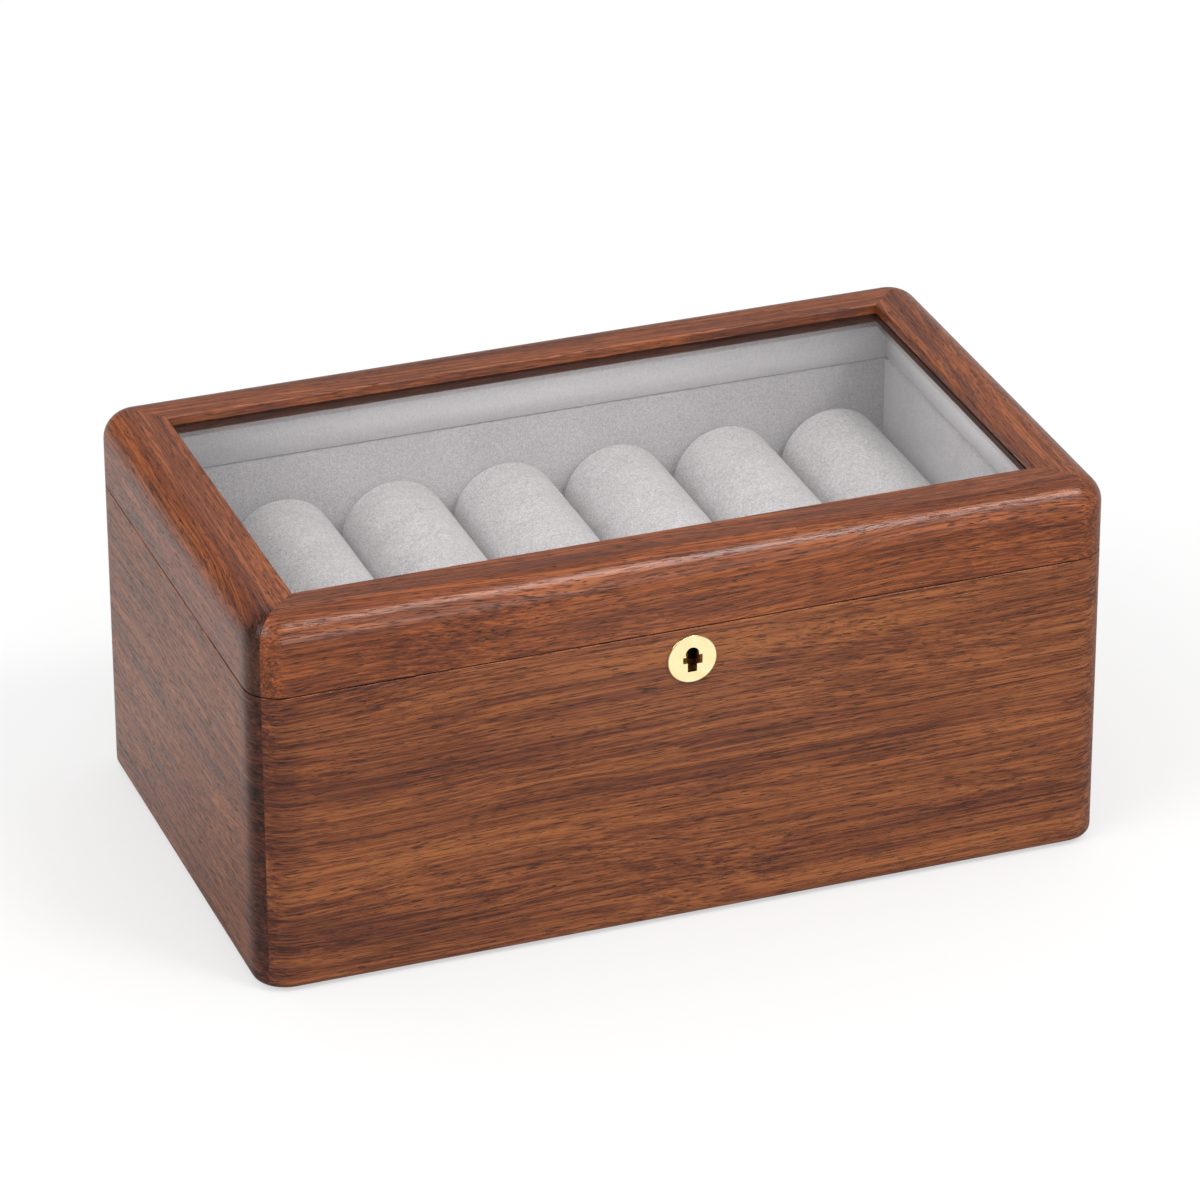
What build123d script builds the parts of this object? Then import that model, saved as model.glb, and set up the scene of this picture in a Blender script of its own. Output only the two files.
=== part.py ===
from build123d import *
from math import cos, radians, sin, tan
import os

os.makedirs("parts", exist_ok=True)

# All sizes are in millimetres. The box stands on z = 0 with its front towards -Y,
# and the origin is the middle of the walnut box's underside.

# Outside of the closed box
box_length = 330.0
box_depth = 196.0
box_height = 150.0
seam_height = 120.0
seam_gap = 0.4
corner_radius = 13.0
top_radius = 11.0
bottom_radius = 3.0
seam_edge_radius = 0.4

# Base walls, bottom and felt
wall = 11.0
felt_thickness = 1.0
felt_inset = 8.0
panel_thickness = 6.0
panel_rebate = 5.0
panel_clearance = 0.2

# Velvet lining of the base
liner_thickness = 4.0
liner_edge_radius = 1.6
floor_pad_thickness = 4.0
floor_pad_radius = 1.5
floor_pad_clearance = 0.4

# Lid rails, glass and lining
rail_width = 22.0
glass_recess = 3.8
glass_thickness = 3.0
glass_clearance = 0.3
opening_edge_radius = 0.8
retainer_thickness = 3.0
retainer_edge_radius = 0.8
lid_liner_thickness = 2.5
lid_liner_drop = 1.6
lid_liner_edge_radius = 1.2

# Velvet rolls and the cradles that carry them
roll_count = 6
roll_gap = 2.0
roll_left_gap = 29.5
roll_right_gap = 2.5
roll_end_gap = 3.0
roll_axis_height = 84.0
shoulder_radius = 2.4
sleeve_thickness = 2.0
sleeve_turn_in = 2.0
sleeve_lip_width = 2.2
tube_wall = 2.5
disc_thickness = 7.0
disc_recess = 1.4
cradle_thickness = 10.0
cradle_drop = 10.0
cradle_clearance = 0.3
seat_clearance = 0.3

# Stop hinges
hinge_end_distance = 70.0
hinge_length = 38.0
leaf_depth = 9.0
leaf_thickness = 1.8
leaf_clearance = 0.1
barrel_radius = 2.5
barrel_stand_off = 0.25
knuckle_count = 5
knuckle_gap = 0.2
hinge_pin_radius = 1.1
pin_running_clearance = 0.05
pin_head_radius = 1.7
pin_head_height = 0.8
stop_reach = 5.0
stop_angle = 95.0
stop_spare_angle = 1.0
stop_wedge_angle = 26.0

# Countersunk screws
screw_radius = 1.0
screw_head_radius = 2.0
screw_length = 8.0
screw_clearance = 0.05
countersink_angle = 82.0
hinge_screw_pitch = 13.0
hinge_screw_count = 3

# Lock
lock_drop = 12.0
escutcheon_radius = 9.5
escutcheon_thickness = 1.4
escutcheon_proud = 0.8
escutcheon_edge_radius = 0.35
key_head_radius = 2.6
key_head_rise = 2.1
key_stem_width = 3.6
key_stem_drop = 5.1
right_ward_reach = 3.9
right_ward_height = 3.6
left_ward_reach = 3.6
left_ward_height = 2.4
ward_drop = 0.3
key_well_width = 7.0
key_well_height = 11.6
case_width = 44.0
case_thickness = 7.0
case_height = 24.0
case_plate = 0.8
selvedge_length = 56.0
selvedge_thickness = 1.5
selvedge_screw_spacing = 49.0
tongue_spacing = 16.0
tongue_thickness = 2.0
tongue_width = 4.4
tongue_length = 9.4
tongue_tip = 1.2
tongue_clearance = 0.5
bolt_thickness = 2.0
bolt_finger_height = 2.6
bolt_clearance = 0.3
bolt_finger_gap = 0.8
bolt_bar_height = 5.0
bolt_post_width = 2.5
bolt_travel = 4.0
strike_length = 46.0
strike_thickness = 1.5
strike_screw_spacing = 36.0

# Levels and faces that follow from the sizes above
wood_bottom = felt_thickness
lid_bottom = seam_height + seam_gap
glass_top = box_height - glass_recess
glass_bottom = glass_top - glass_thickness
retainer_bottom = glass_bottom - retainer_thickness
panel_top = wood_bottom + panel_thickness
pad_top = panel_top + floor_pad_thickness
wall_inner_x = box_length / 2 - wall
wall_inner_y = box_depth / 2 - wall
liner_inner_x = wall_inner_x - liner_thickness
liner_inner_y = wall_inner_y - liner_thickness
roll_row = 2 * liner_inner_x - roll_left_gap - roll_right_gap
roll_radius = (roll_row - (roll_count - 1) * roll_gap) / (2 * roll_count)
roll_pitch = 2 * roll_radius + roll_gap
roll_length = 2 * (liner_inner_y - roll_end_gap)
tube_radius = roll_radius - sleeve_thickness
tube_length = roll_length - 2 * sleeve_turn_in
last_roll_x = liner_inner_x - roll_right_gap - roll_radius
roll_places = [last_roll_x - roll_pitch * (roll_count - 1 - i) for i in range(roll_count)]
hinge_axis_y = box_depth / 2 + barrel_radius + barrel_stand_off
hinge_axis_z = seam_height + seam_gap / 2
hinge_x = box_length / 2 - hinge_end_distance
hinge_places = {"left": -hinge_x, "right": hinge_x}
hinge_screw_y = box_depth / 2 - leaf_depth / 2
lock_height = seam_height - lock_drop
case_middle_y = -wall_inner_y - case_thickness / 2
case_top = seam_height - selvedge_thickness
pocket_width_y = tongue_width + 2 * tongue_clearance
screw_head_height = (screw_head_radius - screw_radius) / tan(radians(countersink_angle / 2))

sides = ("front", "back", "left", "right")


def save(part, name):
    """Give a finished piece its name and write it to its own file."""
    part.label = name
    export_step(part, f"parts/{name}.step")


def mitre_outline(side):
    """Plan outline that keeps one side of a frame cut with 45 degree mitres."""
    x = box_length / 2
    y = box_depth / 2
    reach = rail_width + wall
    outer = {
        "front": [(-x, -y), (x, -y)],
        "right": [(x, -y), (x, y)],
        "back": [(x, y), (-x, y)],
        "left": [(-x, y), (-x, -y)],
    }
    inner = []
    for px, py in reversed(outer[side]):
        inner.append((px - reach if px > 0 else px + reach, py - reach if py > 0 else py + reach))
    return outer[side] + inner


def base_wall(side):
    """One mitred wall of the base, with its rebate, hinge seats or lock seat."""
    with BuildPart() as body:
        with BuildSketch(Plane.XY.offset(wood_bottom)):
            RectangleRounded(box_length, box_depth, corner_radius)
        extrude(amount=seam_height - wood_bottom)
        fillet(body.faces().sort_by(Axis.Z)[0].edges(), bottom_radius)
        fillet(body.faces().sort_by(Axis.Z)[-1].edges(), seam_edge_radius)
        with BuildSketch(Plane.XY.offset(wood_bottom)):
            Rectangle(2 * wall_inner_x, 2 * wall_inner_y)
        extrude(amount=seam_height - wood_bottom, mode=Mode.SUBTRACT)
        with BuildSketch(Plane.XY.offset(wood_bottom)):
            Rectangle(2 * (wall_inner_x + panel_rebate), 2 * (wall_inner_y + panel_rebate))
        extrude(amount=panel_thickness, mode=Mode.SUBTRACT)
        with BuildSketch(Plane.XY.offset(wood_bottom)):
            Polygon(*mitre_outline(side), align=None)
        extrude(amount=seam_height - wood_bottom, mode=Mode.INTERSECT)
        if side == "back":
            seat_y = box_depth / 2 - leaf_depth / 2
            for x in hinge_places.values():
                with BuildSketch(Plane.XY.offset(seam_height)):
                    with Locations((x, seat_y)):
                        Rectangle(hinge_length + 2 * leaf_clearance, leaf_depth)
                extrude(amount=-leaf_thickness, mode=Mode.SUBTRACT)
                with BuildSketch(Plane.XY.offset(seam_height)):
                    with Locations((x, hinge_screw_y)):
                        with GridLocations(hinge_screw_pitch, 0, hinge_screw_count, 1):
                            Circle(screw_radius + screw_clearance)
                extrude(amount=-screw_length - screw_clearance, mode=Mode.SUBTRACT)
        if side == "front":
            with BuildSketch(Plane.XY.offset(seam_height)):
                with Locations((0, case_middle_y)):
                    Rectangle(case_width, case_thickness)
            extrude(amount=-selvedge_thickness - case_height, mode=Mode.SUBTRACT)
            with BuildSketch(Plane.XY.offset(seam_height)):
                with Locations((0, case_middle_y)):
                    Rectangle(selvedge_length, case_thickness)
            extrude(amount=-selvedge_thickness, mode=Mode.SUBTRACT)
            with BuildSketch(Plane.XY.offset(seam_height)):
                with Locations((0, case_middle_y)):
                    with GridLocations(selvedge_screw_spacing, 0, 2, 1):
                        Circle(screw_radius + screw_clearance)
            extrude(amount=-screw_length - screw_clearance, mode=Mode.SUBTRACT)
            with BuildSketch(Plane.XZ.offset(box_depth / 2)):
                with Locations((0, lock_height)):
                    Circle(escutcheon_radius)
            extrude(amount=-(escutcheon_thickness - escutcheon_proud), mode=Mode.SUBTRACT)
            with BuildSketch(Plane.XZ.offset(box_depth / 2)):
                with Locations((0, lock_height)):
                    SlotOverall(key_well_height, key_well_width, rotation=90)
            extrude(amount=-(wall - case_thickness), mode=Mode.SUBTRACT)
    return body.part


for side in sides:
    save(base_wall(side), f"base_{side}_wall")

# Bottom panel, flush in the rebate of the walls
with BuildPart() as bottom_panel:
    with BuildSketch(Plane.XY.offset(wood_bottom)):
        Rectangle(
            2 * (wall_inner_x + panel_rebate - panel_clearance),
            2 * (wall_inner_y + panel_rebate - panel_clearance),
        )
    extrude(amount=panel_thickness)
save(bottom_panel.part, "bottom_panel")

# Felt sheet that the box stands on
with BuildPart() as underside_felt:
    with BuildSketch():
        RectangleRounded(box_length - 2 * felt_inset, box_depth - 2 * felt_inset, corner_radius - felt_inset)
    extrude(amount=felt_thickness)
save(underside_felt.part, "underside_felt")


def base_liner(side):
    """One velvet-covered board on the inside of a base wall, rounded over at its top."""
    long_side = side in ("front", "back")
    sign = -1 if side in ("front", "left") else 1
    if long_side:
        place = (0, sign * (wall_inner_y - liner_thickness / 2))
        size = (2 * wall_inner_x, liner_thickness)
    else:
        place = (sign * (wall_inner_x - liner_thickness / 2), 0)
        size = (liner_thickness, 2 * liner_inner_y)
    across = Axis.Y if long_side else Axis.X
    along = Axis.X if long_side else Axis.Y
    with BuildPart() as board:
        with BuildSketch(Plane.XY.offset(panel_top)):
            with Locations(place):
                Rectangle(*size)
        extrude(amount=seam_height - panel_top)
        top_edges = board.faces().sort_by(Axis.Z)[-1].edges().filter_by(along)
        fillet(top_edges.sort_by(across)[0 if sign > 0 else -1], liner_edge_radius)
    return board.part


for side in sides:
    save(base_liner(side), f"base_liner_{side}")

# Floor pad between the lining boards
with BuildPart() as floor_pad:
    with BuildSketch(Plane.XY.offset(panel_top)):
        Rectangle(2 * (liner_inner_x - floor_pad_clearance), 2 * (liner_inner_y - floor_pad_clearance))
    extrude(amount=floor_pad_thickness)
    fillet(floor_pad.faces().sort_by(Axis.Z)[-1].edges(), floor_pad_radius)
save(floor_pad.part, "floor_pad")


def cradle(side):
    """A board across the box with a half-round seat for the end of each roll."""
    face = liner_inner_y if side == "front" else cradle_thickness - liner_inner_y
    cradle_top = roll_axis_height - cradle_drop
    with BuildPart() as board:
        with BuildSketch(Plane.XZ.offset(face)):
            with Locations((0, pad_top)):
                Rectangle(
                    2 * (liner_inner_x - cradle_clearance),
                    cradle_top - pad_top,
                    align=(Align.CENTER, Align.MIN),
                )
            with Locations(*[(x, roll_axis_height) for x in roll_places]):
                Circle(roll_radius + seat_clearance, mode=Mode.SUBTRACT)
        extrude(amount=-cradle_thickness)
    return board.part


for side in ("front", "back"):
    save(cradle(side), f"cradle_{side}")


def roll_tube(x):
    """The card tube in the middle of a roll."""
    plane = Plane(origin=(x, 0, roll_axis_height), x_dir=(1, 0, 0), z_dir=(0, -1, 0))
    with BuildPart() as tube:
        with BuildSketch(plane):
            Circle(tube_radius)
            Circle(tube_radius - tube_wall, mode=Mode.SUBTRACT)
        extrude(amount=tube_length / 2, both=True)
    return tube.part


def roll_sleeve(x):
    """The padded velvet sleeve: a round with soft shoulders, turned in over the ends of the tube."""
    end = roll_length / 2
    half_tube = tube_length / 2
    shoulder = end - shoulder_radius
    lip_radius = tube_radius - sleeve_lip_width
    corner = shoulder_radius * (1 - cos(radians(45)))
    plane = Plane(origin=(x, 0, roll_axis_height), x_dir=(1, 0, 0), z_dir=(0, 0, 1))
    with BuildPart() as sleeve:
        with BuildSketch(plane):
            with BuildLine():
                Polyline(
                    (roll_radius - shoulder_radius, end),
                    (lip_radius, end),
                    (lip_radius, half_tube),
                    (tube_radius, half_tube),
                    (tube_radius, -half_tube),
                    (lip_radius, -half_tube),
                    (lip_radius, -end),
                    (roll_radius - shoulder_radius, -end),
                )
                ThreePointArc(
                    (roll_radius - shoulder_radius, -end),
                    (roll_radius - corner, -end + corner),
                    (roll_radius, -shoulder),
                )
                Line((roll_radius, -shoulder), (roll_radius, shoulder))
                ThreePointArc(
                    (roll_radius, shoulder),
                    (roll_radius - corner, end - corner),
                    (roll_radius - shoulder_radius, end),
                )
            make_face()
        revolve(axis=Axis((x, 0, roll_axis_height), (0, 1, 0)))
    return sleeve.part


def roll_end_discs(x):
    """The two velvet discs that plug the ends of a roll's tube."""
    face = roll_length / 2 - disc_recess
    with BuildPart() as discs:
        for sign in (-1, 1):
            plane = Plane(origin=(x, sign * face, roll_axis_height), x_dir=(1, 0, 0), z_dir=(0, -sign, 0))
            with BuildSketch(plane):
                Circle(tube_radius - tube_wall)
            extrude(amount=disc_thickness)
    return discs.part


for number, x in enumerate(roll_places, start=1):
    save(roll_tube(x), f"roll_{number}_tube")
    save(roll_sleeve(x), f"roll_{number}_sleeve")
    save(roll_end_discs(x), f"roll_{number}_end_discs")


def lid_rail(side):
    """One mitred rail of the lid: a wall below, and a lip over the glass."""
    with BuildPart() as body:
        with BuildSketch(Plane.XY.offset(lid_bottom)):
            RectangleRounded(box_length, box_depth, corner_radius)
        extrude(amount=box_height - lid_bottom)
        fillet(body.faces().sort_by(Axis.Z)[-1].edges(), top_radius)
        fillet(body.faces().sort_by(Axis.Z)[0].edges(), seam_edge_radius)
        with BuildSketch(Plane.XY.offset(lid_bottom)):
            Rectangle(box_length - 2 * rail_width, box_depth - 2 * rail_width)
        extrude(amount=box_height - lid_bottom, mode=Mode.SUBTRACT)
        top_face = body.faces().filter_by(Plane.XY).sort_by(Axis.Z)[-1]
        fillet(top_face.inner_wires().edges(), opening_edge_radius)
        with BuildSketch(Plane.XY.offset(lid_bottom)):
            Rectangle(2 * wall_inner_x, 2 * wall_inner_y)
        extrude(amount=glass_top - lid_bottom, mode=Mode.SUBTRACT)
        with BuildSketch(Plane.XY.offset(lid_bottom)):
            Polygon(*mitre_outline(side), align=None)
        extrude(amount=box_height - lid_bottom, mode=Mode.INTERSECT)
        if side == "back":
            seat_y = box_depth / 2 - leaf_depth / 2
            for x in hinge_places.values():
                with BuildSketch(Plane.XY.offset(lid_bottom)):
                    with Locations((x, seat_y)):
                        Rectangle(hinge_length + 2 * leaf_clearance, leaf_depth)
                extrude(amount=leaf_thickness, mode=Mode.SUBTRACT)
                with BuildSketch(Plane.XY.offset(lid_bottom)):
                    with Locations((x, hinge_screw_y)):
                        with GridLocations(hinge_screw_pitch, 0, hinge_screw_count, 1):
                            Circle(screw_radius + screw_clearance)
                extrude(amount=screw_length + screw_clearance, mode=Mode.SUBTRACT)
        if side == "front":
            with BuildSketch(Plane.XY.offset(lid_bottom)):
                with Locations((0, case_middle_y)):
                    Rectangle(strike_length, case_thickness)
            extrude(amount=strike_thickness, mode=Mode.SUBTRACT)
            with BuildSketch(Plane.XY.offset(lid_bottom)):
                with Locations((0, case_middle_y)):
                    with GridLocations(strike_screw_spacing, 0, 2, 1):
                        Circle(screw_radius + screw_clearance)
            extrude(amount=screw_length + screw_clearance, mode=Mode.SUBTRACT)
    return body.part


for side in sides:
    save(lid_rail(side), f"lid_{side}_rail")

# Glass pane, laid in from below against the lips of the rails
with BuildPart() as glass_pane:
    with BuildSketch(Plane.XY.offset(glass_bottom)):
        Rectangle(2 * (wall_inner_x - glass_clearance), 2 * (wall_inner_y - glass_clearance))
    extrude(amount=glass_thickness)
save(glass_pane.part, "glass_pane")


def glass_retainer(side):
    """One mitred strip that holds the glass up, level with the rail's inner edge."""
    with BuildPart() as strip:
        with BuildSketch(Plane.XY.offset(retainer_bottom)):
            Rectangle(2 * wall_inner_x, 2 * wall_inner_y)
            Rectangle(box_length - 2 * rail_width, box_depth - 2 * rail_width, mode=Mode.SUBTRACT)
        extrude(amount=retainer_thickness)
        lower_face = strip.faces().filter_by(Plane.XY).sort_by(Axis.Z)[0]
        fillet(lower_face.inner_wires().edges(), retainer_edge_radius)
        with BuildSketch(Plane.XY.offset(retainer_bottom)):
            Polygon(*mitre_outline(side), align=None)
        extrude(amount=retainer_thickness, mode=Mode.INTERSECT)
    return strip.part


def lid_liner(side):
    """One velvet-covered strip on the inside of a lid rail, rounded over at its foot."""
    long_side = side in ("front", "back")
    sign = -1 if side in ("front", "left") else 1
    foot = lid_bottom + lid_liner_drop
    if long_side:
        place = (0, sign * (wall_inner_y - lid_liner_thickness / 2))
        size = (2 * wall_inner_x, lid_liner_thickness)
    else:
        place = (sign * (wall_inner_x - lid_liner_thickness / 2), 0)
        size = (lid_liner_thickness, 2 * (wall_inner_y - lid_liner_thickness))
    across = Axis.Y if long_side else Axis.X
    along = Axis.X if long_side else Axis.Y
    with BuildPart() as strip:
        with BuildSketch(Plane.XY.offset(foot)):
            with Locations(place):
                Rectangle(*size)
        extrude(amount=retainer_bottom - foot)
        foot_edges = strip.faces().sort_by(Axis.Z)[0].edges().filter_by(along)
        fillet(foot_edges.sort_by(across)[0 if sign > 0 else -1], lid_liner_edge_radius)
    return strip.part


for side in sides:
    save(glass_retainer(side), f"glass_retainer_{side}")
    save(lid_liner(side), f"lid_liner_{side}")


def knuckle_spans(own):
    """X spans of the barrel's knuckles, from the hinge's middle: the base has the odd ones."""
    pitch = hinge_length / knuckle_count
    first = 0 if own == "base" else 1
    starts = [i * pitch - hinge_length / 2 for i in range(first, knuckle_count, 2)]
    return [(start, start + pitch) for start in starts]


def hinge_leaf(own, x):
    """A hinge leaf with its knuckles and the heel that stops the lid at its widest."""
    other = "lid" if own == "base" else "base"
    up = 1 if own == "lid" else -1
    leaf_face = lid_bottom if own == "lid" else seam_height
    heel_start = radians((stop_angle + stop_spare_angle) / 2)
    heel_end = heel_start + radians(stop_wedge_angle)
    middle = Plane.YZ.offset(x)
    bore = hinge_pin_radius + (pin_running_clearance if own == "lid" else 0)
    screw_plane = Plane(origin=(x, hinge_screw_y, leaf_face), x_dir=(1, 0, 0), z_dir=(0, 0, -up))
    with BuildPart() as leaf:
        with BuildSketch(middle):
            with Locations((box_depth / 2 - leaf_depth, leaf_face)):
                Rectangle(
                    leaf_depth + hinge_axis_y - box_depth / 2,
                    leaf_thickness,
                    align=(Align.MIN, Align.MIN if own == "lid" else Align.MAX),
                )
            with Locations((hinge_axis_y, hinge_axis_z)):
                Polygon(
                    (0, 0),
                    (stop_reach * cos(heel_start), up * stop_reach * sin(heel_start)),
                    (stop_reach * cos(heel_end), up * stop_reach * sin(heel_end)),
                    align=None,
                )
        extrude(amount=hinge_length / 2, both=True)
        for low, high in knuckle_spans(other):
            with BuildSketch(Plane.YZ.offset(x + low - knuckle_gap / 2)):
                with Locations((hinge_axis_y, hinge_axis_z)):
                    Circle(barrel_radius + knuckle_gap)
            extrude(amount=high - low + knuckle_gap, mode=Mode.SUBTRACT)
        for low, high in knuckle_spans(own):
            trim_low = knuckle_gap / 2 if low > -hinge_length / 2 else 0
            trim_high = knuckle_gap / 2 if high < hinge_length / 2 else 0
            with BuildSketch(Plane.YZ.offset(x + low + trim_low)):
                with Locations((hinge_axis_y, hinge_axis_z)):
                    Circle(barrel_radius)
            extrude(amount=high - low - trim_low - trim_high)
        with BuildSketch(middle):
            with Locations((hinge_axis_y, hinge_axis_z)):
                Circle(bore)
        extrude(amount=hinge_length, both=True, mode=Mode.SUBTRACT)
        with Locations(screw_plane):
            with GridLocations(hinge_screw_pitch, 0, hinge_screw_count, 1):
                CounterSinkHole(
                    screw_radius + screw_clearance,
                    screw_head_radius + screw_clearance,
                    depth=leaf_thickness,
                    counter_sink_angle=countersink_angle,
                )
    return leaf.part


def hinge_pin(x):
    """The pin through a hinge's barrel, with a small round head at each end."""
    with BuildPart() as pin:
        with BuildSketch(Plane.YZ.offset(x)):
            with Locations((hinge_axis_y, hinge_axis_z)):
                Circle(hinge_pin_radius)
        extrude(amount=hinge_length / 2, both=True)
        for start, length in ((hinge_length / 2, pin_head_height), (-hinge_length / 2, -pin_head_height)):
            with BuildSketch(Plane.YZ.offset(x + start)):
                with Locations((hinge_axis_y, hinge_axis_z)):
                    Circle(pin_head_radius)
            extrude(amount=length)
    return pin.part


for side, x in hinge_places.items():
    save(hinge_leaf("base", x), f"hinge_base_leaf_{side}")
    save(hinge_leaf("lid", x), f"hinge_lid_leaf_{side}")
    save(hinge_pin(x), f"hinge_pin_{side}")


def screws(level, up, places):
    """Countersunk screws whose heads are flush at a level, pointing up or down."""
    with BuildPart() as group:
        for x, y in places:
            plane = Plane(origin=(x, y, level), x_dir=(1, 0, 0), z_dir=(0, 0, up))
            with Locations(plane):
                Cone(
                    bottom_radius=screw_head_radius,
                    top_radius=screw_radius,
                    height=screw_head_height,
                    align=(Align.CENTER, Align.CENTER, Align.MIN),
                )
                Cylinder(
                    radius=screw_radius,
                    height=screw_length,
                    align=(Align.CENTER, Align.CENTER, Align.MIN),
                )
    return group.part


first_screw_x = -hinge_screw_pitch * (hinge_screw_count - 1) / 2
hinge_screw_places = []
for x in hinge_places.values():
    for i in range(hinge_screw_count):
        hinge_screw_places.append((x + first_screw_x + i * hinge_screw_pitch, hinge_screw_y))
selvedge_screw_places = [(sign * selvedge_screw_spacing / 2, case_middle_y) for sign in (-1, 1)]
strike_screw_places = [(sign * strike_screw_spacing / 2, case_middle_y) for sign in (-1, 1)]
save(screws(seam_height, -1, hinge_screw_places), "hinge_base_screws")
save(screws(lid_bottom, 1, hinge_screw_places), "hinge_lid_screws")
save(screws(seam_height, -1, selvedge_screw_places), "lock_screws")
save(screws(lid_bottom, 1, strike_screw_places), "strike_screws")

# Round lock face with its keyhole, let into the front wall
with BuildPart() as lock_escutcheon:
    with BuildSketch(Plane.XZ.offset(box_depth / 2 + escutcheon_proud)):
        with Locations((0, lock_height)):
            Circle(escutcheon_radius)
    extrude(amount=-escutcheon_thickness)
    fillet(lock_escutcheon.faces().sort_by(Axis.Y)[0].edges(), escutcheon_edge_radius)
    with BuildSketch(Plane.XZ.offset(box_depth / 2 + escutcheon_proud)):
        with Locations((0, lock_height + key_head_rise)):
            Circle(key_head_radius)
        with Locations((0, lock_height + key_head_rise)):
            Rectangle(key_stem_width, key_head_rise + key_stem_drop, align=(Align.CENTER, Align.MAX))
        with Locations((0, lock_height - ward_drop)):
            Rectangle(right_ward_reach, right_ward_height, align=(Align.MIN, Align.CENTER))
            Rectangle(left_ward_reach, left_ward_height, align=(Align.MAX, Align.CENTER))
    extrude(amount=-escutcheon_thickness, mode=Mode.SUBTRACT)
save(lock_escutcheon.part, "lock_escutcheon")

# Where the strike's tongues and the bolt's fingers meet inside the case
tongue_places = [-tongue_spacing / 2, tongue_spacing / 2]
tongue_foot = lid_bottom - tongue_length
window_foot = tongue_foot + tongue_tip
window_height = bolt_finger_height + 2 * bolt_clearance + seam_gap
bar_top = tongue_foot - bolt_clearance - tongue_clearance
bar_foot = bar_top - bolt_bar_height
pocket_foot = bar_foot - bolt_clearance
finger_length = tongue_thickness + bolt_travel - bolt_finger_gap
post_right = [x - tongue_thickness / 2 - bolt_finger_gap - finger_length for x in tongue_places]
bolt_left = post_right[0] - bolt_post_width
pocket_left = bolt_left - bolt_finger_gap
pocket_right = tongue_places[1] + tongue_thickness / 2 + bolt_travel

# Lock case with its top plate, and the pocket that the bolt slides in
with BuildPart() as lock_case:
    with BuildSketch(Plane.XY.offset(case_top)):
        with Locations((0, case_middle_y)):
            Rectangle(case_width, case_thickness)
    extrude(amount=-case_height)
    with BuildSketch(Plane.XY.offset(case_top)):
        with Locations((0, case_middle_y)):
            Rectangle(selvedge_length, case_thickness)
    extrude(amount=selvedge_thickness)
    with BuildSketch(Plane.XY.offset(pocket_foot)):
        with Locations(((pocket_left + pocket_right) / 2, case_middle_y)):
            Rectangle(pocket_right - pocket_left, pocket_width_y)
    extrude(amount=case_top - pocket_foot, mode=Mode.SUBTRACT)
    with BuildSketch(Plane.XY.offset(case_top)):
        with Locations((0, case_middle_y)):
            with GridLocations(tongue_spacing, 0, 2, 1):
                Rectangle(tongue_thickness + 2 * tongue_clearance, pocket_width_y)
    extrude(amount=selvedge_thickness, mode=Mode.SUBTRACT)
    with BuildSketch(Plane.XZ.offset(wall_inner_y + case_thickness)):
        with Locations((0, lock_height)):
            SlotOverall(key_well_height, key_well_width, rotation=90)
    extrude(amount=-case_plate, mode=Mode.SUBTRACT)
    with Locations(Plane(origin=(0, case_middle_y, seam_height))):
        with GridLocations(selvedge_screw_spacing, 0, 2, 1):
            CounterSinkHole(
                screw_radius + screw_clearance,
                screw_head_radius + screw_clearance,
                depth=selvedge_thickness,
                counter_sink_angle=countersink_angle,
            )
save(lock_case.part, "lock_case")

# Sliding bolt: a bar with two posts, each with a finger that enters a tongue's window
with BuildPart() as lock_bolt:
    with BuildSketch(Plane.XZ.offset(-case_middle_y)):
        with Locations((bolt_left, bar_foot)):
            Rectangle(post_right[1] - bolt_left, bolt_bar_height, align=(Align.MIN, Align.MIN))
        for right in post_right:
            with Locations((right, bar_foot)):
                Rectangle(
                    bolt_post_width,
                    window_foot + bolt_clearance + bolt_finger_height - bar_foot,
                    align=(Align.MAX, Align.MIN),
                )
            with Locations((right, window_foot + bolt_clearance)):
                Rectangle(finger_length, bolt_finger_height, align=(Align.MIN, Align.MIN))
        with Locations(((bolt_left + post_right[1]) / 2, bar_foot)):
            Circle(bolt_bar_height / 2, mode=Mode.SUBTRACT)
    extrude(amount=bolt_thickness / 2, both=True)
save(lock_bolt.part, "lock_bolt")

# Strike plate in the lid, slotted for its two tongues
with BuildPart() as strike_plate:
    with BuildSketch(Plane.XY.offset(lid_bottom)):
        with Locations((0, case_middle_y)):
            Rectangle(strike_length, case_thickness)
            with GridLocations(tongue_spacing, 0, 2, 1):
                Rectangle(tongue_thickness, tongue_width, mode=Mode.SUBTRACT)
    extrude(amount=strike_thickness)
    with Locations(Plane(origin=(0, case_middle_y, lid_bottom), x_dir=(1, 0, 0), z_dir=(0, 0, -1))):
        with GridLocations(strike_screw_spacing, 0, 2, 1):
            CounterSinkHole(
                screw_radius + screw_clearance,
                screw_head_radius + screw_clearance,
                depth=strike_thickness,
                counter_sink_angle=countersink_angle,
            )
save(strike_plate.part, "strike_plate")

# The two windowed tongues, fixed in the strike plate's slots
with BuildPart() as strike_tongues:
    with BuildSketch(Plane.XY.offset(lid_bottom + strike_thickness)):
        with Locations((0, case_middle_y)):
            with GridLocations(tongue_spacing, 0, 2, 1):
                Rectangle(tongue_thickness, tongue_width)
    extrude(amount=-strike_thickness - tongue_length)
    with BuildSketch(Plane.YZ):
        with Locations((case_middle_y, window_foot)):
            Rectangle(bolt_thickness + 2 * bolt_clearance, window_height, align=(Align.CENTER, Align.MIN))
    extrude(amount=strike_length, both=True, mode=Mode.SUBTRACT)
save(strike_tongues.part, "strike_tongues")
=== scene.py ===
"""Looks of a walnut bangle box: satin walnut, a glass top, pale velvet rolls and lining, and brass."""

from __future__ import annotations

import logging
import math
from dataclasses import dataclass
from enum import Enum
from typing import Callable, Iterable, Sequence

import bmesh
import bpy
from mathutils import Matrix, Vector, noise

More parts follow.
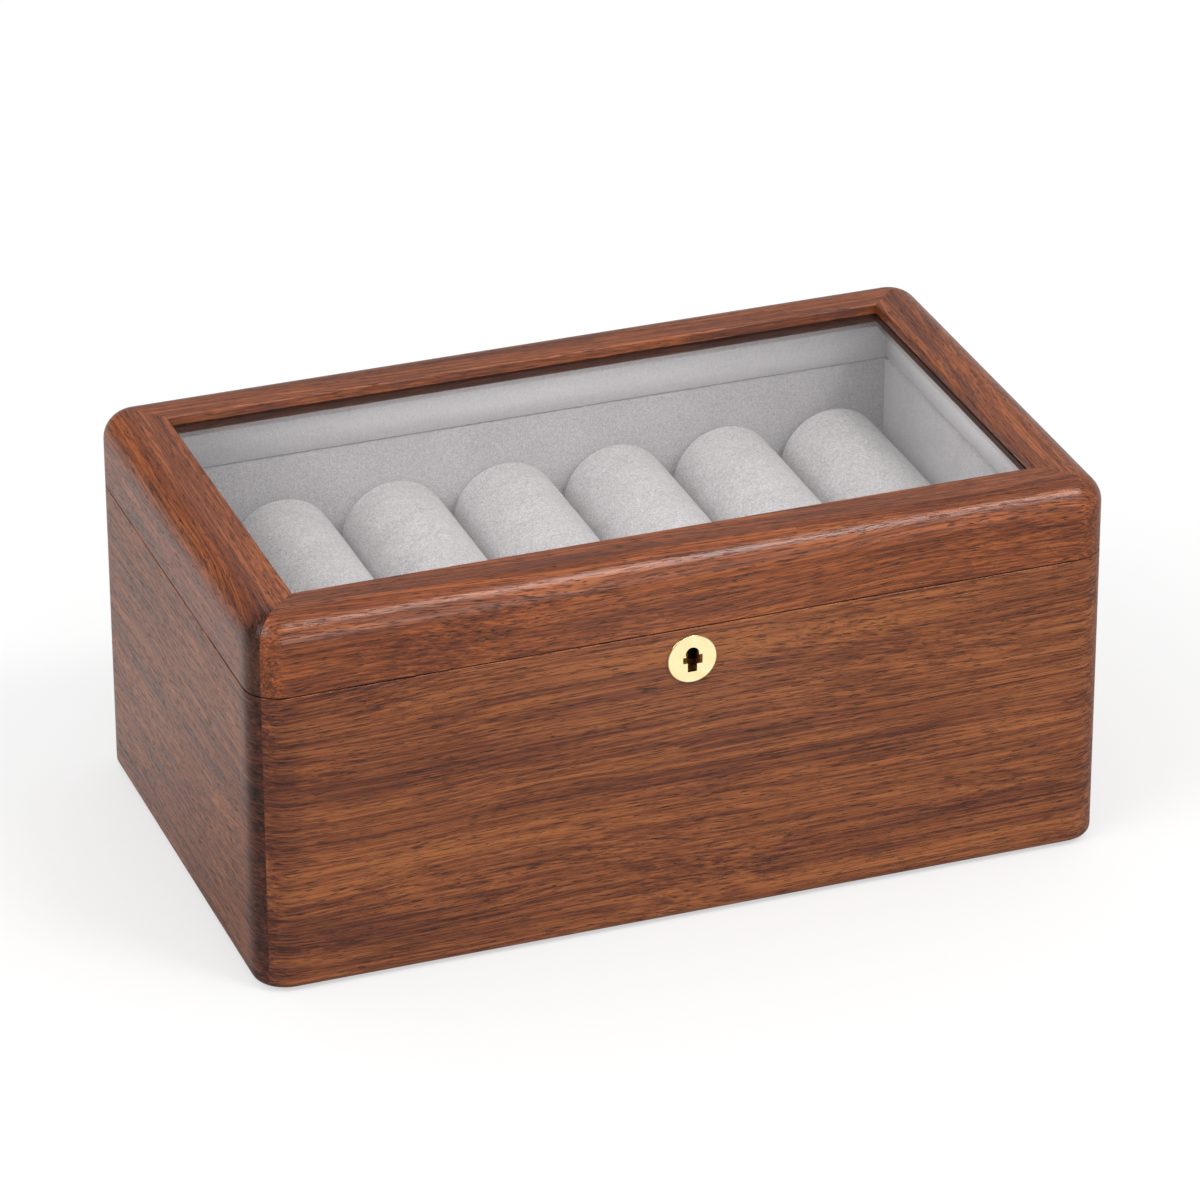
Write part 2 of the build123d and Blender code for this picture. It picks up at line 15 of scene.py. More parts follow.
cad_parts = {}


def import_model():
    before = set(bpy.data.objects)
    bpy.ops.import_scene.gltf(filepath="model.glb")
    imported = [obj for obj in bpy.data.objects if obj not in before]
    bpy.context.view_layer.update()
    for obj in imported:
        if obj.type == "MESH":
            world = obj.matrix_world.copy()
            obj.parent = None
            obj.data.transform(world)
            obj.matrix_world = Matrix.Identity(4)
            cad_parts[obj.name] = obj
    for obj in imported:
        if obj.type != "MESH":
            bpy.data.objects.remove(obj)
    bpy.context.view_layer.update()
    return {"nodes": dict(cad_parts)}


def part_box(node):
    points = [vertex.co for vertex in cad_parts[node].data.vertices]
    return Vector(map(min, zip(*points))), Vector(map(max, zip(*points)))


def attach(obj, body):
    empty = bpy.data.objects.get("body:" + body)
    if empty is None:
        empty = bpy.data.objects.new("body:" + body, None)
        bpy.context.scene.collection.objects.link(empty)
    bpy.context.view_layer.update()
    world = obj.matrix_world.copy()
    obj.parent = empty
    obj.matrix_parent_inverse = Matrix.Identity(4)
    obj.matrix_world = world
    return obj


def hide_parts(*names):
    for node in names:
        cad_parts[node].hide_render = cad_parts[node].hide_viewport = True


log = logging.getLogger("bangle_box")

MM = 0.001
SIDES = ("front", "back", "left", "right")
HANDS = ("left", "right")
Socket = bpy.types.NodeSocket
Material = bpy.types.Material
Colour = tuple[float, float, float, float]
WHITE: Colour = (1.0, 1.0, 1.0, 1.0)


def srgb(red: int, green: int, blue: int) -> Colour:
    """Turn a colour as seen on a screen into the linear colour that a shader takes.

    Args:
        red: Red from 0 to 255.
        green: Green from 0 to 255.
        blue: Blue from 0 to 255.

    Returns:
        The linear colour with full alpha.
    """
    shares = (red / 255, green / 255, blue / 255)
    linear = [c / 12.92 if c <= 0.04045 else ((c + 0.055) / 1.055) ** 2.4 for c in shares]
    return (linear[0], linear[1], linear[2], 1.0)


class Grain(Enum):
    """Which way a piece of wood's grain runs."""

    ALONG_LENGTH = "length"
    ALONG_DEPTH = "depth"


@dataclass(frozen=True)
class Layer:
    """A layer of noise: its features' size in millimetres, its make, its range and its weight."""

    cell: tuple[float, float, float]
    detail: float = 2.0
    roughness: float = 0.5
    low: float = 0.0
    high: float = 1.0
    weight: float = 1.0


class Graph:
    """A short way to write a tree of shader nodes."""

    def __init__(self, tree: bpy.types.NodeTree) -> None:
        """Keep the tree that nodes are added to."""
        self.tree = tree

    def node(
        self,
        kind: str,
        inputs: dict[str | int, object] | None = None,
        **settings: object,
    ) -> bpy.types.Node:
        """Add a node, with its settings, and fill or link its inputs.

        Args:
            kind: The node's type name.
            inputs: Input name or number to a value or to the socket that feeds it.
            **settings: Attributes of the node itself.

        Returns:
            The new node.
        """
        made = self.tree.nodes.new(kind)
        for name, value in settings.items():
            setattr(made, name, value)
        for name, value in (inputs or {}).items():
            if isinstance(value, bpy.types.NodeSocket):
                self.tree.links.new(value, made.inputs[name])
            else:
                made.inputs[name].default_value = value
        return made

    def math(self, operation: str, first: Socket | float, second: Socket | float = 0.0) -> Socket:
        """One step of arithmetic on two numbers."""
        return self.node("ShaderNodeMath", {0: first, 1: second}, operation=operation).outputs[0]

    def stretch(
        self,
        value: Socket,
        low: float,
        high: float,
        to_low: float = 0.0,
        to_high: float = 1.0,
    ) -> Socket:
        """Spread the part of a value between low and high over a new range, and clamp it."""
        inputs = {"Value": value, "From Min": low, "From Max": high, "To Min": to_low, "To Max": to_high}
        return self.node("ShaderNodeMapRange", inputs).outputs[0]

    def noise(self, place: Socket, layer: Layer) -> Socket:
        """The layer's plain noise.

        Args:
            place: The point in millimetres.
            layer: The noise's features and make.

        Returns:
            The noise, from 0 to 1.
        """
        cells = tuple(1.0 / size for size in layer.cell)
        stretched = self.node("ShaderNodeVectorMath", {0: place, 1: cells}, operation="MULTIPLY").outputs[0]
        inputs = {"Vector": stretched, "Scale": 1.0, "Detail": layer.detail, "Roughness": layer.roughness}
        return self.node("ShaderNodeTexNoise", inputs).outputs[0]

    def mask(self, place: Socket, layer: Layer) -> Socket:
        """The layer's noise, spread between its low and its high."""
        return self.stretch(self.noise(place, layer), layer.low, layer.high)

    def weigh(self, value: Socket, weight: float) -> Socket:
        """A value times its weight."""
        return self.math("MULTIPLY", value, weight)

    def total(self, first: Socket, *others: Socket) -> Socket:
        """Add some values in order.

        Args:
            first: The first value.
            *others: The values that are added to it.

        Returns:
            Their sum.
        """
        for other in others:
            first = self.math("ADD", first, other)
        return first

    def mix(self, factor: Socket | float, first: Socket | Colour, second: Socket | Colour) -> Socket:
        """Blend two colours."""
        return self.node("ShaderNodeMix", {0: factor, 6: first, 7: second}, data_type="RGBA").outputs[2]


class Effect:
    """A shader node group that more than one material uses, built once."""

    made: dict[str, bpy.types.NodeTree] = {}

    @classmethod
    def get(
        cls,
        name: str,
        inputs: dict[str, Colour | float],
        outputs: Sequence[str],
        build: Callable[[Graph, dict[str, Socket]], dict[str, Socket]],
    ) -> bpy.types.NodeTree:
        """Return the group called name, and build it the first time.

        Args:
            name: The group's name.
            inputs: Each input's first value, a colour or a number. The place is one more input.
            outputs: The outputs' names. Colour is a colour and the others are numbers.
            build: Makes the nodes from the group's inputs and returns its outputs.

        Returns:
            The node group.
        """
        if name in cls.made:
            return cls.made[name]
        tree = bpy.data.node_groups.new(name, "ShaderNodeTree")
        tree.interface.new_socket(name="Place", in_out="INPUT", socket_type="NodeSocketVector")
        for label, value in inputs.items():
            kind = "NodeSocketFloat" if isinstance(value, float) else "NodeSocketColor"
            tree.interface.new_socket(name=label, in_out="INPUT", socket_type=kind).default_value = value
        for label in outputs:
            kind = "NodeSocketColor" if label == "Colour" else "NodeSocketFloat"
            tree.interface.new_socket(name=label, in_out="OUTPUT", socket_type=kind)
        graph = Graph(tree)
        entry = graph.node("NodeGroupInput")
        results = build(graph, {label: entry.outputs[label] for label in ("Place", *inputs)})
        graph.node("NodeGroupOutput", dict(results))
        cls.made[name] = tree
        return tree


class Walnut:
    """The layers of walnut's figure, with X along the grain."""

    drift: Layer = Layer((170.0, 40.0, 40.0), detail=1.0, roughness=0.4, weight=16.0)
    ripple: Layer = Layer((70.0, 12.0, 12.0), detail=1.0, roughness=0.4, weight=2.4)
    bands: Layer = Layer((300.0, 9.0, 13.0), low=0.34, high=0.66, weight=0.26)
    streaks: Layer = Layer((190.0, 1.9, 2.8), detail=3.0, roughness=0.55, low=0.33, high=0.67, weight=0.34)
    threads: Layer = Layer((90.0, 0.6, 0.8), detail=1.0, low=0.36, high=0.64, weight=0.38)
    lines: Layer = Layer((170.0, 0.9, 1.3), low=0.56, high=0.68, weight=0.42)
    fibre: Layer = Layer((15.0, 0.30, 0.30), roughness=0.65, low=0.3, high=0.7, weight=0.8)
    pores: Layer = Layer((6.5, 0.36, 0.36), detail=1.0, low=0.60, high=0.65, weight=0.7)
    tones_pore_to_dark: tuple[float, float] = (-0.35, 0.12)
    tones_dark_to_middle: tuple[float, float] = (0.14, 0.50)
    tones_middle_to_light: tuple[float, float] = (0.48, 0.88)
    fibre_mean: float = 0.5
    smoothest: float = 0.30
    roughest: float = 0.42
    pore_roughness: float = 0.15
    fibre_height: float = 0.35
    pore_height: float = 0.65


class Nap:
    """The layers of a short velvet pile."""

    speckle: Layer = Layer((0.62, 0.62, 0.62), roughness=0.7, weight=0.72)
    tufts: Layer = Layer((1.8, 1.8, 1.8), roughness=0.6, weight=0.24)
    brushed: Layer = Layer((15.0, 11.0, 13.0), weight=0.12)
    tones: tuple[float, float] = (0.38, 0.70)
    tuft_height: float = 0.5


class Handling:
    """The layers of what handling leaves on metal."""

    smear: Layer = Layer((7.0, 7.0, 5.0), detail=3.0, roughness=0.55, low=0.35, high=0.7)
    hairline: Layer = Layer((9.0, 9.0, 0.3), roughness=0.6)


def build_walnut_figure(graph: Graph, given: dict[str, Socket]) -> dict[str, Socket]:
    """Walnut's figure: nearly straight growth bands, streaks, dark lines, fibre and short open pores.

    Args:
        graph: The group's graph.
        given: The group's inputs. Place is in millimetres, with X along the grain.

    Returns:
        The colour, the roughness and the height of the surface.
    """
    place = given["Place"]
    drift = graph.weigh(graph.noise(place, Walnut.drift), Walnut.drift.weight)
    shift = graph.math("ADD", drift, graph.weigh(graph.noise(place, Walnut.ripple), Walnut.ripple.weight))
    offset = graph.node("ShaderNodeCombineXYZ", {"Y": shift, "Z": shift}).outputs[0]
    bent = graph.node("ShaderNodeVectorMath", {0: place, 1: offset}, operation="ADD").outputs[0]

    fibre = graph.noise(bent, Walnut.fibre)
    pores = graph.mask(bent, Walnut.pores)
    stripes = (Walnut.bands, Walnut.streaks, Walnut.threads)
    tone = graph.total(
        *(graph.weigh(graph.mask(bent, layer), layer.weight) for layer in stripes),
        graph.weigh(graph.math("SUBTRACT", fibre, Walnut.fibre_mean), Walnut.fibre.weight),
        # Lift carries the boards' patches: painted shade where it is below nought, paler figure where it is
        # above.
        given["Lift"],
    )
    core = graph.mix(graph.stretch(tone, *Walnut.tones_pore_to_dark), given["Pore"], given["Dark"])
    heart = graph.mix(graph.stretch(tone, *Walnut.tones_dark_to_middle), core, given["Middle"])
    body = graph.mix(graph.stretch(tone, *Walnut.tones_middle_to_light), heart, given["Light"])
    lines = graph.weigh(graph.mask(bent, Walnut.lines), Walnut.lines.weight)
    lined = graph.mix(lines, body, given["Dark"])
    colour = graph.mix(graph.weigh(pores, Walnut.pores.weight), lined, given["Pore"])

    surface = graph.stretch(fibre, Walnut.fibre.low, Walnut.fibre.high, Walnut.smoothest, Walnut.roughest)
    rough = graph.math("ADD", surface, graph.weigh(pores, Walnut.pore_roughness))
    raised = graph.weigh(fibre, Walnut.fibre_height)
    height = graph.math("SUBTRACT", raised, graph.weigh(pores, Walnut.pore_height))
    return {"Colour": colour, "Roughness": rough, "Height": height}


def build_nap(graph: Graph, given: dict[str, Socket]) -> dict[str, Socket]:
    """Short velvet nap: fine speckle of the pile, and patches brushed one way or the other.

    Args:
        graph: The group's graph.
        given: The group's inputs. Place is in millimetres.

    Returns:
        The colour and the height of the pile.
    """
    speckle = graph.noise(given["Place"], Nap.speckle)
    tufts = graph.noise(given["Place"], Nap.tufts)
    tone = graph.total(
        graph.weigh(speckle, Nap.speckle.weight),
        graph.weigh(tufts, Nap.tufts.weight),
        graph.weigh(graph.noise(given["Place"], Nap.brushed), Nap.brushed.weight),
    )
    colour = graph.mix(graph.stretch(tone, *Nap.tones), given["Deep"], given["Tip"])
    return {"Colour": colour, "Height": graph.math("ADD", speckle, graph.weigh(tufts, Nap.tuft_height))}


def build_handling(graph: Graph, given: dict[str, Socket]) -> dict[str, Socket]:
    """What handling does to metal: faint smears and hairline marks.

    Args:
        graph: The group's graph.
        given: The group's inputs. Place is in millimetres.

    Returns:
        The colour, the roughness and the height of the surface.
    """
    smear = graph.noise(given["Place"], Handling.smear)
    hairline = graph.noise(given["Place"], Handling.hairline)
    dulled = graph.stretch(smear, Handling.smear.low, Handling.smear.high)
    colour = graph.mix(dulled, given["Clean"], given["Dulled"])
    rough = graph.math("ADD", graph.math("MULTIPLY", smear, given["Smear"]), given["Polish"])
    return {"Colour": colour, "Roughness": rough, "Height": hairline}


def start_material(name: str) -> tuple[Material, Graph, Socket]:
    """Make an empty node material.

    Args:
        name: The material's name.

    Returns:
        The material, its graph and the Surface input of its output.
    """
    material = bpy.data.materials.new(name)
    material.use_nodes = True
    material.node_tree.nodes.clear()
    graph = Graph(material.node_tree)
    output = graph.node("ShaderNodeOutputMaterial")
    return material, graph, output.inputs["Surface"]


def place_in_mm(
    graph: Graph,
    turn: float = 0.0,
    shift: Sequence[float] = (0.0, 0.0, 0.0),
    depth: float = 1.0,
) -> Socket:
    """The point on the piece in millimetres, turned about Z, moved to its own part of the pattern.

    Args:
        graph: The material's graph.
        turn: Angle about Z in radians.
        shift: How far the pattern is moved, in millimetres.
        depth: How fast the pattern changes across the grain in the level plane.

    Returns:
        The point's socket.
    """
    point = graph.node("ShaderNodeTexCoord").outputs["Object"]
    inputs = {"Vector": point, "Scale": (1 / MM,) * 3, "Rotation": (0.0, 0.0, turn), "Location": shift}
    turned = graph.node("ShaderNodeMapping", inputs).outputs[0]
    inputs = {0: turned, 1: (1.0, depth, 1.0)}
    return graph.node("ShaderNodeVectorMath", inputs, operation="MULTIPLY").outputs[0]


@dataclass(frozen=True)
class Patch:
    """A lens-shaped place on a board, in metres on the box, paler or, below nought, darker than the rest."""

    centre: tuple[float, float, float]
    half_size: tuple[float, float, float]
    strength: float
    core: float = 0.35


@dataclass(frozen=True)
class WalnutFinish:
    """Oiled walnut with a satin top coat."""

    name: str
    grain: Grain
    shift: tuple[float, float, float] = (0.0, 0.0, 0.0)
    slope: float = 0.03
    light: Colour = srgb(163, 98, 56)
    middle: Colour = srgb(130, 73, 43)
    dark: Colour = srgb(89, 47, 34)
    pore: Colour = srgb(40, 21, 14)
    specular: float = 0.3
    coat: float = 0.24
    coat_roughness: float = 0.22
    pore_depth: float = 0.12 * MM
    depth: float = 1.0
    patches: tuple[Patch, ...] = ()

    def lift(self, graph: Graph) -> Socket | float:
        """How much lighter or darker the board is inside its patches: painted shade where a patch's strength
        is below nought, paler figure where it is above.

        Args:
            graph: The material's graph.

        Returns:
            The lift, or nought for a board with no patches.
        """
        total: Socket | float = 0.0
        point = graph.node("ShaderNodeTexCoord").outputs["Object"]
        for patch in self.patches:
            inputs = {
                "Vector": point,
                "Location": tuple(-c / s for c, s in zip(patch.centre, patch.half_size)),
                "Scale": tuple(1 / s for s in patch.half_size),
            }
            local = graph.node("ShaderNodeMapping", inputs).outputs[0]
            away = graph.node("ShaderNodeVectorMath", {0: local}, operation="LENGTH").outputs["Value"]
            total = graph.math("ADD", total, graph.stretch(away, patch.core, 1.0, patch.strength, 0.0))
        return total

    def material(self) -> Material:
        """Build the material.

        Returns:
            The new material.
        """
        material, graph, surface = start_material(self.name)
        turn = 0.0 if self.grain is Grain.ALONG_LENGTH else math.radians(90)
        tones = {"Light": self.light, "Middle": self.middle, "Dark": self.dark, "Pore": self.pore}
        outputs = ("Colour", "Roughness", "Height")
        group = Effect.get("walnut_figure", {**tones, "Lift": 0.0}, outputs, build_walnut_figure)
        place = place_in_mm(graph, turn + self.slope, self.shift, self.depth)
        inputs = {"Place": place, "Lift": self.lift(graph), **tones}
        figure = graph.node("ShaderNodeGroup", inputs, node_tree=group)
        inputs = {"Height": figure.outputs["Height"], "Distance": self.pore_depth}
        bump = graph.node("ShaderNodeBump", inputs)
        shader = graph.node(
            "ShaderNodeBsdfPrincipled",
            {
                "Base Color": figure.outputs["Colour"],
                "Roughness": figure.outputs["Roughness"],
                "Normal": bump.outputs[0],
                "Specular IOR Level": self.specular,
                "Coat Weight": self.coat,
                "Coat Roughness": self.coat_roughness,
                "Coat Normal": bump.outputs[0],
            },
        )
        graph.tree.links.new(shader.outputs[0], surface)
        return material


@dataclass(frozen=True)
class NapFinish:
    """A short-piled cloth such as velvet or felt."""

    name: str
    tip: Colour
    deep: Colour
    sheen: float = 0.35
    sheen_roughness: float = 0.45
    roughness: float = 0.95
    specular: float = 0.1
    pile: float = 0.25 * MM

    def material(self) -> Material:
        """Build the material.

        Returns:
            The new material.
        """
        material, graph, surface = start_material(self.name)
        values = {"Tip": self.tip, "Deep": self.deep}
        group = Effect.get("velvet_nap", values, ("Colour", "Height"), build_nap)
        nap = graph.node("ShaderNodeGroup", {"Place": place_in_mm(graph), **values}, node_tree=group)
        bump = graph.node("ShaderNodeBump", {"Height": nap.outputs["Height"], "Distance": self.pile})
        shader = graph.node(
            "ShaderNodeBsdfPrincipled",
            {
                "Base Color": nap.outputs["Colour"],
                "Roughness": self.roughness,
                "Normal": bump.outputs[0],
                "Specular IOR Level": self.specular,
                "Sheen Weight": self.sheen,
                "Sheen Roughness": self.sheen_roughness,
            },
        )
        graph.tree.links.new(shader.outputs[0], surface)
        return material


@dataclass(frozen=True)
class MetalFinish:
    """Bare metal, from satin to polished."""

    name: str
    clean: Colour
    dulled: Colour
    polish: float
    smear: float
    mark_depth: float = 0.003 * MM

    def material(self) -> Material:
        """Build the material.

        Returns:
            The new material.
        """
        material, graph, surface = start_material(self.name)
        values = {"Clean": self.clean, "Dulled": self.dulled, "Polish": self.polish, "Smear": self.smear}
        group = Effect.get("handled_metal", values, ("Colour", "Roughness", "Height"), build_handling)
        handled = graph.node("ShaderNodeGroup", {"Place": place_in_mm(graph), **values}, node_tree=group)
        inputs = {"Height": handled.outputs["Height"], "Distance": self.mark_depth}
        bump = graph.node("ShaderNodeBump", inputs)
        shader = graph.node(
            "ShaderNodeBsdfPrincipled",
            {
                "Base Color": handled.outputs["Colour"],
                "Roughness": handled.outputs["Roughness"],
                "Normal": bump.outputs[0],
                "Metallic": 1.0,
            },
        )
        graph.tree.links.new(shader.outputs[0], surface)
        return material


@dataclass(frozen=True)
class GlassFinish:
    """Clear float glass that lets light through to what is under it."""

    name: str
    tint: Colour = (0.99, 0.985, 0.985, 1.0)
    index: float = 1.5

    def material(self) -> Material:
        """Build the material.

        Returns:
            The new material.
        """
        material, graph, surface = start_material(self.name)
        shader = graph.node(
            "ShaderNodeBsdfPrincipled",
            {"Base Color": self.tint, "Roughness": 0.0, "IOR": self.index, "Transmission Weight": 1.0},
        )
        clear = graph.node("ShaderNodeBsdfTransparent", {"Color": self.tint})
        path = graph.node("ShaderNodeLightPath")
        passing = graph.math("MAXIMUM", path.outputs["Is Shadow Ray"], path.outputs["Is Diffuse Ray"])
        mixed = graph.node("ShaderNodeMixShader", {0: passing, 1: shader.outputs[0], 2: clear.outputs[0]})
        graph.tree.links.new(mixed.outputs[0], surface)
        return material


def dress(obj: bpy.types.Object, material: Material) -> None:
    """Give an object one material."""
    obj.data.materials.clear()
    obj.data.materials.append(material)


def dress_nodes(
    nodes: dict[str, bpy.types.Object],
    names: Iterable[str],
    material: Material,
) -> None:
    """Give CAD pieces their finish.

    Args:
        nodes: The CAD pieces by name.
        names: The pieces that get it.
        material: The finish.
    """
    for name in names:
        dress(nodes[name], material)
        log.info("%s: %s", material.name, name)


def stand_in(piece: bpy.types.Object, node: str, body: str) -> None:
    """Show a piece in the place of a CAD node.

    Args:
        piece: The piece that is shown.
        node: The CAD node that it stands for.
        body: The body that it rides on.
    """
    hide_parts(node)
    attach(piece, body)
    log.info("%s in the place of %s", piece.name, node)


def mesh_object(name: str, bm: bmesh.types.BMesh, material: Material) -> bpy.types.Object:
    """Turn a bmesh into a smooth object in the scene.

    Args:
        name: The object's name.
        bm: The finished bmesh, which is freed.
        material: What the object is made of.

    Returns:
        The new object.
    """
    bmesh.ops.recalc_face_normals(bm, faces=bm.faces)
    mesh = bpy.data.meshes.new(name)
    bm.to_mesh(mesh)
    bm.free()
    mesh.polygons.foreach_set("use_smooth", [True] * len(mesh.polygons))
    obj = bpy.data.objects.new(name, mesh)
    bpy.context.scene.collection.objects.link(obj)
    dress(obj, material)
    return obj


def outline_prism(bm: bmesh.types.BMesh, outline: Sequence[Vector], sweep: Vector) -> None:
    """Add a closed prism: a flat outline carried along a straight sweep.

    Args:
        bm: Where it is added.
        outline: The corners in order.
        sweep: How far the outline is carried.
    """
    near = [bm.verts.new(p) for p in outline]
    far = [bm.verts.new(p + sweep) for p in outline]
    bm.faces.new(near)
    bm.faces.new(far[::-1])
    count = len(outline)
    for i in range(count):
        j = (i + 1) % count
        bm.faces.new((near[j], near[i], far[i], far[j]))


def soften(bm: bmesh.types.BMesh, radius: float, segments: int, least_angle: float = 0.5) -> None:
    """Round every edge that turns by more than least_angle."""
    edges = [e for e in bm.edges if e.is_manifold and e.calc_face_angle(0.0) > least_angle]
    bmesh.ops.bevel(bm, geom=edges, offset=radius, segments=segments, profile=0.5, affect="EDGES")


def revolve_rings(
    bm: bmesh.types.BMesh,
    profile: Sequence[tuple[float, float]],
    centre: Vector,
    steps: int,
    wander: Callable[[Vector], float],
) -> None:
    """Add a closed form turned about a line along Y.

    Args:
        bm: Where it is added.
        profile: Radius and place along Y of each ring; the first and last have radius 0.
        centre: A point on the axis.
        steps: Points in each ring.
        wander: How far a point is pushed outwards.
    """
    rings: list[list[bmesh.types.BMVert]] = []
    for radius, along in profile:
        if radius <= 0.0:
            rings.append([bm.verts.new(centre + Vector((0.0, along, 0.0)))])
            continue
        ring = []
        for i in range(steps):
            angle = 2 * math.pi * i / steps
            out = Vector((math.cos(angle), 0.0, math.sin(angle)))
            point = centre + Vector((0.0, along, 0.0)) + out * radius
            ring.append(bm.verts.new(point + out * wander(point)))
        rings.append(ring)
    for low, high in zip(rings, rings[1:]):
        for i in range(steps):
            j = (i + 1) % steps
            a, b = low[i % len(low)], low[j % len(low)]
            c, d = high[j % len(high)], high[i % len(high)]
            bm.faces.new(list(dict.fromkeys((a, b, c, d))))


@dataclass
class WalnutCase:
    """The mitred walnut walls of the base and rails of the lid."""

    nodes: dict[str, bpy.types.Object]
    pattern_step: float = 900.0
    # Painted shade: corner_shade darkens the left wall and the left rail towards the front-left corner.
    corner_shade: tuple[Patch, ...] = (Patch((-0.163, -0.098, 0.075), (0.04, 0.019, 0.6), -0.6),)
    # The first front patch is painted shade at the front's left end, by the corner; the other two are paler
    # streaks of figure.
    front_shade_and_figure: tuple[Patch, ...] = (
        Patch((-0.165, -0.092, 0.075), (0.02, 0.06, 0.6), -0.2),
        Patch((0.128, -0.098, 0.058), (0.045, 0.03, 0.0085), 0.32),
        Patch((0.03, -0.098, 0.110), (0.11, 0.03, 0.007), 0.22),
    )

    def build(self) -> None:
        """Give each board its own stretch of grain, and the painted shade near the front-left corner."""
        for number, side in enumerate(SIDES):
            grain = Grain.ALONG_LENGTH if side in ("front", "back") else Grain.ALONG_DEPTH
            corner = self.corner_shade if side == "left" else ()
            patches = self.front_shade_and_figure if side == "front" else corner
            shift = (0.0, 0.0, number * self.pattern_step)
            wall = WalnutFinish(f"walnut_{side}_wall", grain, shift, depth=0.3, patches=patches)
            rail = WalnutFinish(
                f"walnut_{side}_rail",
                grain,
                (self.pattern_step, 0.0, number * self.pattern_step),
                light=srgb(166, 93, 50),
                middle=srgb(124, 65, 36),
                coat=0.34,
                coat_roughness=0.17,
                patches=corner,
            )
            dress_nodes(self.nodes, [f"base_{side}_wall"], wall.material())
            dress_nodes(self.nodes, [f"lid_{side}_rail"], rail.material())
        # The glass retainers get a much darker walnut: painted shade on the wood under the glass, which lies
        # in the rails' shadow.
        dark = WalnutFinish(
            "painted_shade_walnut_strip",
            Grain.ALONG_LENGTH,
            light=srgb(70, 42, 32),
            middle=srgb(52, 31, 25),
            dark=srgb(34, 21, 18),
            coat=0.1,
        ).material()
        dress_nodes(self.nodes, [f"glass_retainer_{side}" for side in SIDES], dark)
        ply = WalnutFinish(
            "birch_ply",
            Grain.ALONG_LENGTH,
            light=srgb(205, 172, 132),
            middle=srgb(188, 152, 112),
            dark=srgb(160, 122, 86),
            pore=srgb(120, 86, 60),
            coat=0.0,
        ).material()
        dress_nodes(self.nodes, ["bottom_panel"], ply)


@dataclass
class VelvetLining:
    """The velvet-covered boards in the base and lid, the floor pad, and the felt underneath."""

    velvet: Material
    lid_velvet: Material
    felt: Material
    edge_radius: float = 0.9 * MM
    edge_segments: int = 5
    foot_clearance: float = 0.15 * MM
    felt_radius: float = 0.3 * MM
    felt_corner: float = 5.0 * MM
    corner_steps: int = 6

    def board(
        self,
        node: str,
        body: str,
        material: Material,
        foot: float | None = None,
    ) -> None:
        """A board wrapped in velvet in the place of a CAD board.

        Args:
            node: The CAD board.
            body: The body that it rides on.
            material: The velvet.
            foot: Level that the velvet hangs down to, where that is lower than the board.
        """
        low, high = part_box(node)
        low.z = low.z if foot is None else foot
        bm = bmesh.new()
        corners = ((low.x, low.y), (high.x, low.y), (high.x, high.y), (low.x, high.y))
        outline_prism(bm, [Vector((x, y, low.z)) for x, y in corners], Vector((0.0, 0.0, high.z - low.z)))
        soften(bm, self.edge_radius, self.edge_segments)
        piece = mesh_object(f"velvet_{node}", bm, material)
        stand_in(piece, node, body)

    def felt_sheet(self) -> None:
        """The felt sheet glued under the base."""
        low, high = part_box("underside_felt")
        corner = self.felt_corner
        outline = []
        corners = ((high.x, high.y, 0), (low.x, high.y, 1), (low.x, low.y, 2), (high.x, low.y, 3))
        for x, y, quarter in corners:
            centre = Vector((x - math.copysign(corner, x), y - math.copysign(corner, y), low.z))
            for i in range(self.corner_steps + 1):
                angle = (quarter + i / self.corner_steps) * math.pi / 2
                outline.append(centre + Vector((math.cos(angle), math.sin(angle), 0.0)) * corner)
        bm = bmesh.new()
        outline_prism(bm, outline, Vector((0.0, 0.0, high.z - low.z)))
        soften(bm, self.felt_radius, segments=2, least_angle=1.0)
        sheet = mesh_object("felt_sheet", bm, self.felt)
        stand_in(sheet, "underside_felt", "base")

    def build(self) -> None:
        """Build every lining board."""
        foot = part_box("lid_front_rail")[0].z + self.foot_clearance
        for side in SIDES:
            self.board(f"base_liner_{side}", "base", self.velvet)
            self.board(f"lid_liner_{side}", "lid", self.lid_velvet, foot)
        self.board("floor_pad", "base", self.velvet)
        self.felt_sheet()


